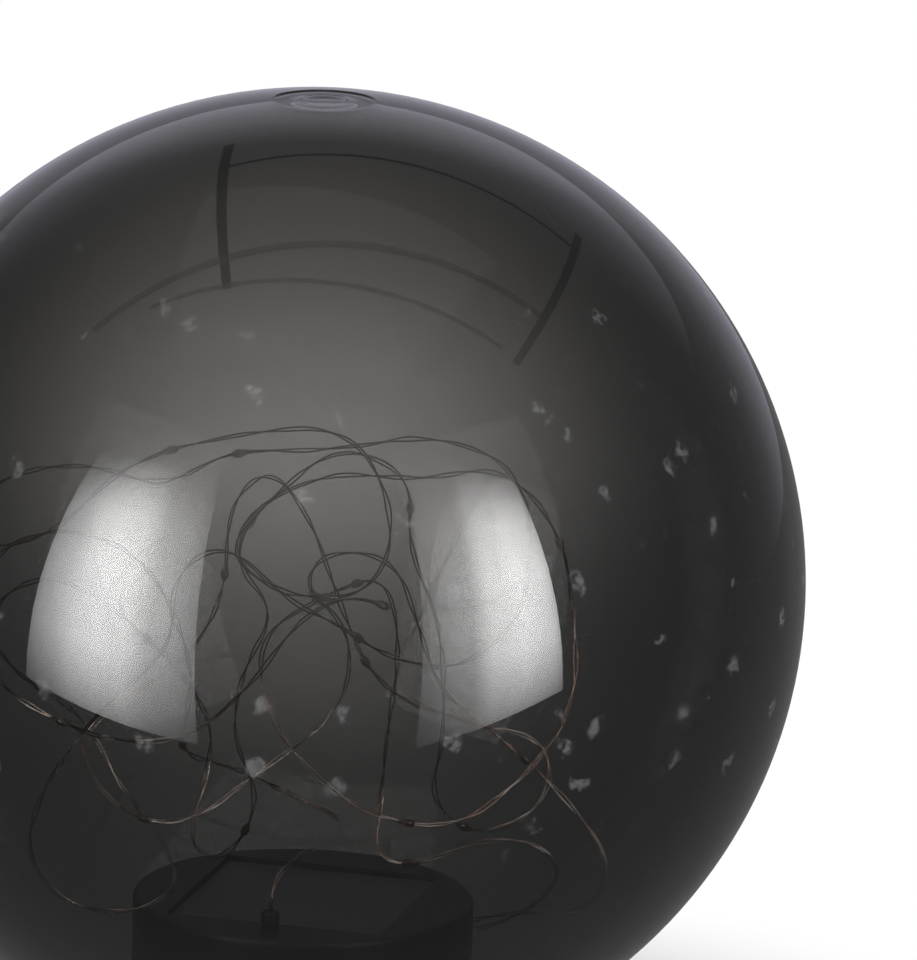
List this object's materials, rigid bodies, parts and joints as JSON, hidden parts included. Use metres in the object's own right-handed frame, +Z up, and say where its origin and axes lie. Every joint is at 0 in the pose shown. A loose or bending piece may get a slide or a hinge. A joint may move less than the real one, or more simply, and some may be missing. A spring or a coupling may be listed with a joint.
{
  "type": "garden globe light",
  "caption": "Solar garden globe light: a smoked see-through ball twisted onto a black base with a solar panel on top, and a string of small wire lights inside",
  "frame": {"origin": "middle of the underside, on the ground between the rubber feet", "axes": "+Z up through the globe's poles; X and Y along the solar panel's sides, wire outlet towards -Y"},
  "size_m": [0.25, 0.25, 0.2573],
  "materials": {
    "smoked_plastic": "smooth, smoked see-through plastic",
    "black_plastic": "fine moulded satin",
    "panel_blue_black": "dark solar cell",
    "panel_board": "plain board",
    "clear_resin": "clear cast resin",
    "copper_wire": "enamelled copper wire",
    "amber_chip": "amber lens",
    "rubber_black": "soft rubber",
    "screw_steel": "plain steel",
    "cell_sleeve": "shrink sleeve, plain",
    "contact_steel": "nickel plated spring steel",
    "board_green": "plain board",
    "chip_black": "moulded case",
    "coil_dark": "ferrite",
    "capacitor_sleeve": "plain can",
    "wire_insulation": "soft insulation",
    "foam_grey": "closed cell foam",
    "switch_case": "moulded case"
  },
  "bodies": {
    "base": {"neck_gasket": "rubber_black", "solar_housing": "black_plastic", "rubber_feet": "rubber_black", "solar_panel_board": "panel_board", "solar_cells": "panel_blue_black", "panel_window": "clear_resin", "wire_outlet": "black_plastic", "light_string": "copper_wire", "light_beads": "clear_resin", "led_chips": "amber_chip", "base_cover": "black_plastic", "cover_gasket": "rubber_black", "cover_screws": "screw_steel", "battery_cell": "cell_sleeve", "battery_spring": "contact_steel", "battery_plate": "contact_steel", "switch_body": "switch_case", "circuit_board": "board_green", "driver_chip": "chip_black", "boost_coil": "coil_dark", "storage_capacitor": "capacitor_sleeve", "board_screws": "screw_steel", "panel_leads": "wire_insulation", "switch_leads": "wire_insulation", "battery_leads": "wire_insulation", "string_lead": "wire_insulation"},
    "globe": {"globe_shell": "smoked_plastic"},
    "door": {"battery_door": "black_plastic", "door_seal": "foam_grey", "door_screw": "screw_steel"},
    "switch": {"switch_knob": "black_plastic"}
  },
  "joints": [
    {"name": "globe_twist", "type": "hinge", "parent": "base", "child": "globe", "pos_m": [0, 0, 0], "axis": [0, 0, 1], "range_deg": [0, 36]},
    {"name": "door_lift_off", "type": "slide", "parent": "base", "child": "door", "axis": [0, 0, -1], "range_m": [0, 0.01]},
    {"name": "switch_slide", "type": "slide", "parent": "base", "child": "switch", "axis": [1, 0, 0], "range_m": [0, 0.003]}
  ]
}
